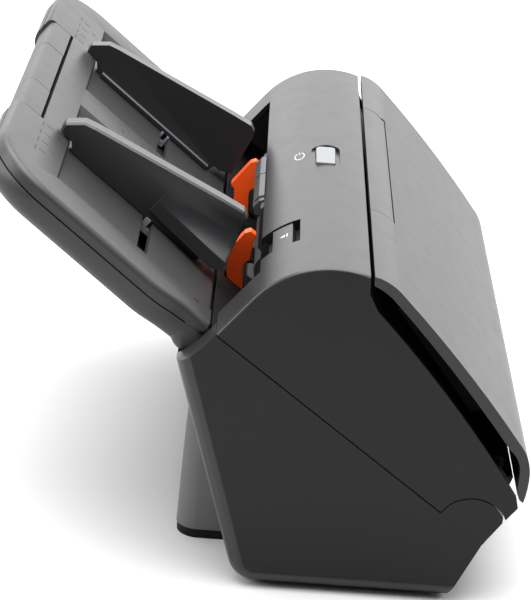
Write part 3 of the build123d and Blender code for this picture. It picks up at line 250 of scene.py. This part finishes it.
def smooth_arc(piece, place, y, z, radius):
    """Bake the rounded edges and give the skin of an arc its exact radial normals."""
    graph = bpy.context.evaluated_depsgraph_get()
    baked = bpy.data.meshes.new_from_object(piece.evaluated_get(graph))
    piece.modifiers.clear()
    piece.data = baked
    normals = [tuple(item.vector) for item in baked.corner_normals]
    for face in baked.polygons:
        for corner in face.loop_indices:
            point = place @ baked.vertices[baked.loops[corner].vertex_index].co / MM
            radial = Vector((0.0, point.y - y, point.z - z))
            on_arc = abs(radial.length - radius) < ARC_REACH
            if on_arc and face.normal.dot(radial) > ARC_FACING * radial.length:
                normals[corner] = tuple(radial.normalized())
    baked.normals_split_custom_set(normals)


def refine(node, width, others):
    """A copy of a CAD node with small rounded edges, shown in its place.

    `others` lists further materials, each with a test of a face's middle and direction.
    """
    source = NODES[node]
    mesh = source.data.copy()
    mesh.name = node + "_shown"
    work = bmesh.new()
    work.from_mesh(mesh)
    bmesh.ops.remove_doubles(work, verts=work.verts, dist=0.000002)
    bmesh.ops.dissolve_limit(work, angle_limit=math.radians(0.05), verts=work.verts, edges=work.edges)
    for number, (material, chosen) in enumerate(others, 1):
        mesh.materials.append(material)
        for face in work.faces:
            if chosen(source.matrix_world @ face.calc_center_median(), face.normal):
                face.material_index = number
    work.to_mesh(mesh)
    work.free()
    mesh.shade_smooth()
    mesh.set_sharp_from_angle(angle=EDGE_ANGLE)
    piece = bpy.data.objects.new(node + "_shown", mesh)
    bpy.context.scene.collection.objects.link(piece)
    edge = piece.modifiers.new("edge", "BEVEL")
    edge.width = width
    edge.segments = 2
    edge.limit_method = "ANGLE"
    edge.angle_limit = EDGE_ANGLE
    edge.use_clamp_overlap = True
    edge.harden_normals = True
    edge.miter_outer = "MITER_ARC"
    edge.material = 0
    if node in ARCS:
        smooth_arc(piece, source.matrix_world, *ARCS[node])
    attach(piece, source["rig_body"])
    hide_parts(node)


# nodes shown with rounded edges, by the width of the rounding
EDGES = {
    0.75 * MM: ["front_unit_top_cover"],
    0.5 * MM: ["base_left_side_cover", "base_right_side_cover", "base_lower_front_cover",
               "base_rear_cover", "rear_stand"],
    0.35 * MM: ["tray_upper_shell", "tray_lower_shell", "tray_extension", "tray_extension_middle",
                "left_hinge_cap", "right_hinge_cap", "left_paper_guide", "right_paper_guide"],
    0.25 * MM: ["front_panel", "output_flap", "flap_hinge_cover", "open_lever", "left_document_stop",
                "right_document_stop", "separation_holder", "start_button", "power_inlet",
                "usb_socket"],
}


def mm_inside(point, x, y, z):
    """True if a point in metres lies inside a box given in millimetres."""
    return all(lo <= v / MM <= hi for v, (lo, hi) in zip(point, (x, y, z)))


TRAY_TURN = math.radians(38.9)   # slope of the open tray
TRAY_ORIGIN = Vector((0.0, 32.5 + DESIGN_Y, 110.5))
ALONG = Vector((0.0, math.cos(TRAY_TURN), math.sin(TRAY_TURN)))
OUTWARD = Vector((0.0, -math.sin(TRAY_TURN), math.cos(TRAY_TURN)))


def shaded_flat_side(point, normal):
    """Faces square to the width, painted darker as shade."""
    return abs(normal.x) > 0.97


def shaded_feed_mouth(point, normal):
    """The rear cover's faces inside the feed mouth, painted black as shade."""
    return mm_inside(point, (-135.4, 135.4), (-60, 36), (80, 140)) and normal.y < 0.6


def shaded_inner_wall(point, normal):
    """The inner face of a side cover, towards the middle, painted black as shade."""
    return point.x * normal.x < 0.0 and abs(normal.x) > 0.9


def shaded_barrel_top(point, normal):
    """The tray's hinge barrel where it shows inside the feed mouth, painted black as shade."""
    out = math.hypot(point.y - TRAY_ORIGIN.y * MM, point.z - TRAY_ORIGIN.z * MM)
    near_axis = out < 9.5 * MM and abs(point.x) < 134 * MM
    return near_axis and normal.y < 0.75 and normal.z > -0.3 and abs(normal.x) < 0.5


def shaded_lever_pocket(point, normal):
    """The walls and floor of the pocket behind the open lever, painted black as shade."""
    in_pocket = mm_inside(point, (-112.7, -82.3), (-16.4, 3), (139.0, 150.2))
    return in_pocket and (normal.z < 0.5 or point.z < 146.2 * MM)


def guide_foot(point, normal):
    """The upper face of a guide's foot, on the paper side, painted lighter as a highlight."""
    return abs(point.x) < 60.45 * MM and normal.dot(OUTWARD) > 0.5


# faces picked out in further materials: the black and the darker side ones are painted shade, the foot one is
# a painted highlight
OTHER_LOOKS = {
    "left_paper_guide": [(FOOT_HIGHLIGHT, guide_foot)],
    "right_paper_guide": [(FOOT_HIGHLIGHT, guide_foot)],
    "tray_lower_shell": [(BLACK_AND_SHADE, shaded_barrel_top)],
    "base_rear_cover": [(BLACK_AND_SHADE, shaded_feed_mouth)],
    "base_left_side_cover": [(SHADED_SIDE, shaded_flat_side), (BLACK_AND_SHADE, shaded_inner_wall)],
    "base_right_side_cover": [(SHADED_SIDE, shaded_flat_side), (BLACK_AND_SHADE, shaded_inner_wall)],
    "front_unit_top_cover": [(SHADED_SIDE, shaded_flat_side), (BLACK_AND_SHADE, shaded_lever_pocket)],
}
for width, nodes in EDGES.items():
    for node in nodes:
        refine(node, width, OTHER_LOOKS.get(node, ()))


# ---------------------------------------------------------------- printed and moulded marks
ABOVE_TRAY = 30.0            # marks are dropped onto the tray from this far off it (mm)
ABOVE_TOP = 180.0            # and onto the top cover from this height (mm)
PATCH_STEPS = 4              # each mark is divided this often both ways
DOWN = Vector((0.0, 0.0, -1.0))


def on_tray(x, s):
    """A point over the tray: x across, s up the slope (mm)."""
    return TRAY_ORIGIN + Vector((x, 0.0, 0.0)) + ALONG * s + OUTWARD * ABOVE_TRAY


def on_top(x, y):
    """A point over the top cover (design mm)."""
    return Vector((x, y + DESIGN_Y, ABOVE_TOP))


def printed(name, node, patches, towards, material, lift=0.03):
    """Thin marks laid on a node: each patch is four corners, divided and dropped onto the surface."""
    source = NODES[node]
    shape = bmesh.new()
    shape.from_mesh(source.data)
    shape.transform(source.matrix_world)
    tree = BVHTree.FromBMesh(shape)
    shape.free()
    work = bmesh.new()
    for corners in patches:
        a, b, c, d = corners
        rows = []
        for i in range(PATCH_STEPS + 1):
            left = a.lerp(d, i / PATCH_STEPS)
            right_side = b.lerp(c, i / PATCH_STEPS)
            row = []
            for j in range(PATCH_STEPS + 1):
                start = left.lerp(right_side, j / PATCH_STEPS) * MM
                hit, normal, _, _ = tree.ray_cast(start, towards)
                row.append(work.verts.new(hit + normal * lift * MM) if hit else None)
            rows.append(row)
        for i in range(PATCH_STEPS):
            for j in range(PATCH_STEPS):
                cell = (rows[i][j], rows[i][j + 1], rows[i + 1][j + 1], rows[i + 1][j])
                if all(cell):
                    work.faces.new(cell)
    mesh = bpy.data.meshes.new(name)
    bmesh.ops.recalc_face_normals(work, faces=work.faces)
    work.to_mesh(mesh)
    work.free()
    mesh.materials.append(material)
    piece = bpy.data.objects.new(name, mesh)
    bpy.context.scene.collection.objects.link(piece)
    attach(piece, source["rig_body"])


def bar(place, x0, x1, y0, y1):
    """Four corners of an upright rectangle on a surface."""
    return (place(x0, y0), place(x1, y0), place(x1, y1), place(x0, y1))


def triangle(place, x, y, half, height):
    """A small solid triangle pointing along +y, or -y for a negative height."""
    tip = 0.05
    return (place(x - half, y), place(x + half, y),
            place(x + tip, y + height), place(x - tip, y + height))


def ring(place, x, y, inner, outer, start, stop, count=20):
    """Part of a ring as a fan of patches; angles in degrees."""
    def spot(radius, angle):
        return place(x + radius * math.cos(angle), y + radius * math.sin(angle))

    patches = []
    for k in range(count):
        a0, a1 = (math.radians(start + (stop - start) * (k + e) / count) for e in (0, 1))
        patches.append((spot(inner, a0), spot(outer, a0), spot(outer, a1), spot(inner, a1)))
    return patches


ICON_X, ICON_Y = 5.0, -11.0  # middle of the icon: an oval ring with a gap and a bar in it
ICON_STRETCH = 2.2           # the oval's length over its width
ICON_LINE = 0.44             # width of the bar
power_mark = ring(lambda x, y: on_top(ICON_X + ICON_STRETCH * x, ICON_Y + y), 0.0, 0.0, 1.95, 2.4, 25, 335)
power_mark.append(bar(on_top, ICON_X + 2.6, ICON_X + 5.8, ICON_Y - ICON_LINE / 2, ICON_Y + ICON_LINE / 2))
printed("power_mark", "front_unit_top_cover", power_mark, DOWN, PRINT)
lever_marks = [triangle(on_top, -97.5, -5.4, 1.5, 2.2), bar(on_top, -99.4, -95.6, -6.6, -6.0)]
printed("lever_marks", "open_lever", lever_marks, DOWN, PRINT)

TICK_PITCH = 11.0            # spacing of the paper size ticks across the tray


def mirrored(sign, x, width):
    """The two ends of a mark on one side of the tray, in rising order."""
    return sorted((sign * x, sign * (x + width)))


for side, sign in (("left", -1), ("right", 1)):
    rows = [number * TICK_PITCH for number in range(4)]
    ticks = [bar(on_tray, *mirrored(sign, 71.0 + row, 1.2), 93.6, 97.4) for row in rows]
    ticks += [bar(on_tray, *mirrored(sign, 70.0 + row, 6.0), 98.8, 99.6) for row in rows]
    ticks += [triangle(on_tray, sign * x, 89.4, 1.6, 2.2) for x in (76.0, 98.0)]
    printed(f"{side}_size_marks", "tray_upper_shell", ticks, -OUTWARD, MARK)
    fold_mark = [triangle(on_tray, sign * 121.0, 4.6, 1.8, 3.0)]
    printed(f"{side}_fold_mark", "tray_upper_shell", fold_mark, -OUTWARD, DARK_PRINT)

OVAL_STRETCH = 3.3
for number, s in enumerate((60.3, 45.8), 1):
    oval = ring(lambda x, y: on_tray(OVAL_STRETCH * x, y), 0.0, s, 2.95, 3.2, 0, 360, 32)
    bar_mark = bar(on_tray, -5.0, 5.0, s - 0.9, s - 0.5)
    arrow = triangle(on_tray, 0.0, s - 0.2, 3.0, 1.6)
    printed(f"rib_mark_{number}", "tray_upper_shell", oval + [bar_mark, arrow], -OUTWARD, MARK)

# ---------------------------------------------------------------- camera
PITCH = 0.37701              # the camera looks down by this angle (radians)
YAW = -0.00921
ROLL = 0.07607
DISTANCE = 1.1129
TARGET = Vector((0.0, 0.00001 + DESIGN_Y * MM, 0.07655))
LENS = 138.0

forward = Vector((math.cos(PITCH) * math.cos(YAW), math.cos(PITCH) * math.sin(YAW), -math.sin(PITCH)))
right = forward.cross(Vector((0, 0, 1))).normalized()
up = right.cross(forward)
right_rolled = right * math.cos(ROLL) + up * math.sin(ROLL)
up_rolled = up * math.cos(ROLL) - right * math.sin(ROLL)
camera_data = bpy.data.cameras.new("camera")
camera_data.lens = LENS
camera_data.sensor_width = 36.0
camera_data.clip_start = 0.05
camera = bpy.data.objects.new("camera", camera_data)
bpy.context.scene.collection.objects.link(camera)
turn = Matrix((right_rolled, up_rolled, -forward)).transposed().to_4x4()
camera.matrix_world = Matrix.Translation(TARGET - forward * DISTANCE) @ turn
bpy.context.scene.camera = camera

# ---------------------------------------------------------------- studio
floor_mesh = bpy.data.meshes.new("floor")
REACH = 8.0
floor_mesh.from_pydata([(-REACH, -REACH, 0), (REACH, -REACH, 0), (REACH, REACH, 0), (-REACH, REACH, 0)], [],
                       [(0, 1, 2, 3)])
floor = bpy.data.objects.new("floor", floor_mesh)
bpy.context.scene.collection.objects.link(floor)
floor_mat, floor_tree, floor_shader = new_material("pale_floor")
floor_shader.inputs["Base Color"].default_value = (0.46, 0.46, 0.46, 1.0)
floor_shader.inputs["Roughness"].default_value = 0.9
floor_mesh.materials.append(floor_mat)


def softbox(name, place, target, size, power):
    """A white rectangular area light aimed at a point."""
    light = bpy.data.lights.new(name, "AREA")
    light.shape = "RECTANGLE"
    light.size, light.size_y = size
    light.energy = power
    obj = bpy.data.objects.new(name, light)
    bpy.context.scene.collection.objects.link(obj)
    obj.location = place
    obj.rotation_euler = (Vector(target) - Vector(place)).to_track_quat("-Z", "Y").to_euler()


softbox("top_softbox", (-0.1, 0.0, 1.5), (0.0, 0.0, 0.1), (1.6, 1.8), 70.0)
softbox("rear_left_softbox", (-0.4, 1.3, 0.8), (0.0, 0.05, 0.12), (0.8, 0.8), 14.0)

# The surroundings grow brighter towards +X and upwards, like a white wall behind the scanner.
world = bpy.data.worlds.new("studio")
world.use_nodes = True
sky = world.node_tree
facing = sky.nodes.new("ShaderNodeTexCoord")
parts = sky.nodes.new("ShaderNodeSeparateXYZ")
sky.links.new(facing.outputs["Generated"], parts.inputs["Vector"])
height = sky.nodes.new("ShaderNodeMath")
height.operation = "MULTIPLY"
height.inputs[1].default_value = 0.7
sky.links.new(parts.outputs["Z"], height.inputs[0])
lean = sky.nodes.new("ShaderNodeMath")
lean.operation = "ADD"
sky.links.new(parts.outputs["X"], lean.inputs[0])
sky.links.new(height.outputs["Value"], lean.inputs[1])
bright = remap(sky, lean.outputs["Value"], 0.05, 2.5, -0.4, 0.9)
sky.nodes["Background"].inputs["Color"].default_value = (1.0, 1.0, 1.0, 1.0)
sky.links.new(bright, sky.nodes["Background"].inputs["Strength"])
bpy.context.scene.world = world
bpy.context.scene.view_settings.view_transform = "Standard"
